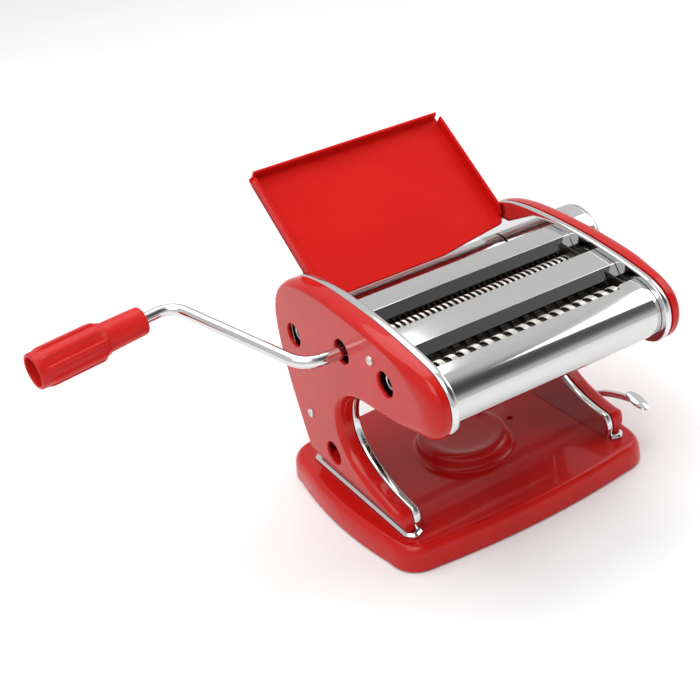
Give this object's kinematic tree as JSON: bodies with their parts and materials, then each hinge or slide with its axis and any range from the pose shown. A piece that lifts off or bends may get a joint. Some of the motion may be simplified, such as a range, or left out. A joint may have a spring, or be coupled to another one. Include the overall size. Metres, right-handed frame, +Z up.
{
  "type": "pasta roller machine",
  "caption": "Hand-cranked pasta roller on a suction base, with smooth rollers behind an adjusting knob, two pairs of cutters and a dough tray.",
  "frame": {"origin": "centre of the suction cup's underside, on the table under the middle of the base", "axes": "+X along the rollers towards the thickness knob, +Y towards the dough tray at the back, +Z up"},
  "size_m": [0.3786, 0.2347, 0.21],
  "materials": {
    "red_gloss": "glossy moulded red",
    "red_satin": "satin moulded red",
    "grip_red": "satin moulded red with raised ribs",
    "chrome": "polished chrome",
    "roller": "fine ground",
    "cutter": "machined",
    "steel": "bright",
    "bronze": "oiled",
    "nylon": "moulded",
    "rubber": "soft matte"
  },
  "bodies": {
    "machine": {"base_shell": "red_gloss", "pad_front_left": "rubber", "pad_front_right": "rubber", "pad_back_left": "rubber", "pad_back_right": "rubber", "left_frame": "chrome", "left_cover": "red_gloss", "left_foot_trim": "chrome", "left_cover_screw_1": "steel", "left_cover_screw_2": "steel", "right_frame": "chrome", "right_cover": "red_gloss", "right_foot_trim": "chrome", "right_cover_screw_1": "steel", "right_cover_screw_2": "steel", "rear_cover": "chrome", "middle_cover": "chrome", "front_cover": "chrome", "left_smooth_drive_bush": "bronze", "right_smooth_drive_bush": "bronze", "left_narrow_drive_bush": "bronze", "right_narrow_drive_bush": "bronze", "left_narrow_driven_bush": "bronze", "right_narrow_driven_bush": "bronze", "left_wide_drive_bush": "bronze", "right_wide_drive_bush": "bronze", "left_wide_driven_bush": "bronze", "right_wide_driven_bush": "bronze", "drive_scraper": "steel", "adjust_scraper": "steel", "narrow_comb": "nylon", "wide_comb": "nylon", "tie_rod_front": "steel", "tie_rod_back": "steel", "tray_rest_rod": "steel", "index_pin": "steel"},
    "narrow_drive": {"narrow_drive_cutter": "cutter", "narrow_drive_gear": "steel"},
    "crank": {"crank_rod": "chrome", "grip_washer": "steel"},
    "grip": {"crank_grip": "grip_red"},
    "narrow_driven": {"narrow_driven_cutter": "cutter", "narrow_driven_gear": "steel"},
    "wide_drive": {"wide_drive_cutter": "cutter", "wide_drive_gear": "steel"},
    "wide_driven": {"wide_driven_cutter": "cutter", "wide_driven_gear": "steel"},
    "smooth_drive": {"smooth_drive_roller": "roller", "smooth_drive_gear": "steel"},
    "adjust_carriage": {"left_slide_bearing": "bronze", "right_slide_bearing": "bronze"},
    "smooth_adjust": {"smooth_adjust_roller": "roller", "smooth_adjust_gear": "steel"},
    "dial": {"dial_shaft": "steel", "knob_spring": "steel"},
    "knob": {"adjust_knob": "chrome"},
    "lever": {"suction_lever": "chrome"},
    "suction": {"suction_cup": "rubber", "suction_yoke": "steel"},
    "tray": {"dough_tray": "red_satin"}
  },
  "joints": [
    {"name": "narrow_spin", "type": "hinge", "parent": "machine", "child": "narrow_drive", "pos_m": [0, -0.0166, 0.1345], "axis": [1, 0, 0], "continuous": true},
    {"name": "crank_pull", "type": "slide", "parent": "narrow_drive", "child": "crank", "axis": [-1, 0, 0], "range_m": [0, 0.03]},
    {"name": "grip_spin", "type": "hinge", "parent": "crank", "child": "grip", "pos_m": [-0.17877, 0.07652, 0.1526], "axis": [-0.9898, -0.14, -0.0272], "continuous": true},
    {"name": "narrow_driven_spin", "type": "hinge", "parent": "machine", "child": "narrow_driven", "pos_m": [0, -0.03837, 0.13933], "axis": [1, 0, 0], "continuous": true},
    {"name": "wide_spin", "type": "hinge", "parent": "machine", "child": "wide_drive", "pos_m": [0, -0.065, 0.13335], "axis": [1, 0, 0], "continuous": true},
    {"name": "wide_driven_spin", "type": "hinge", "parent": "machine", "child": "wide_driven", "pos_m": [0, -0.08713, 0.13615], "axis": [1, 0, 0], "continuous": true},
    {"name": "smooth_spin", "type": "hinge", "parent": "machine", "child": "smooth_drive", "pos_m": [0, 0.047, 0.1199], "axis": [1, 0, 0], "continuous": true},
    {"name": "carriage_slide", "type": "slide", "parent": "machine", "child": "adjust_carriage", "axis": [0, 0.9655, -0.2603], "range_m": [0, 0.0024]},
    {"name": "smooth_adjust_spin", "type": "hinge", "parent": "adjust_carriage", "child": "smooth_adjust", "pos_m": [0, 0.01514, 0.12849], "axis": [1, 0, 0], "continuous": true},
    {"name": "dial_turn", "type": "hinge", "parent": "machine", "child": "dial", "pos_m": [0.1, 0.01514, 0.12849], "axis": [1, 0, 0], "range_deg": [0, 288]},
    {"name": "knob_pull", "type": "slide", "parent": "dial", "child": "knob", "axis": [1, 0, 0], "range_m": [0, 0.004], "stiffness_N_per_m": 1200, "springref_m": -0.002, "deforming": ["knob_spring"]},
    {"name": "lever_turn", "type": "hinge", "parent": "machine", "child": "lever", "pos_m": [0, 0, 0.01], "axis": [-1, 0, 0], "range_deg": [0, 140]},
    {"name": "cup_lift", "type": "slide", "parent": "machine", "child": "suction", "axis": [0, 0, 1], "range_m": [0, 0.0025]},
    {"name": "tray_lift", "type": "slide", "parent": "machine", "child": "tray", "axis": [0, 0.8007, 0.599], "range_m": [0, 0.03]}
  ],
  "couplings": [
    {"joint": "narrow_driven_spin", "follows": "narrow_spin", "ratio": -1},
    {"joint": "wide_driven_spin", "follows": "wide_spin", "ratio": -1},
    {"joint": "smooth_adjust_spin", "follows": "smooth_spin", "ratio": -1},
    {"joint": "carriage_slide", "follows": "dial_turn", "m_per_rad": 0.00047742},
    {"joint": "cup_lift", "follows": "lever_turn", "m_per_rad": 0.001023}
  ]
}
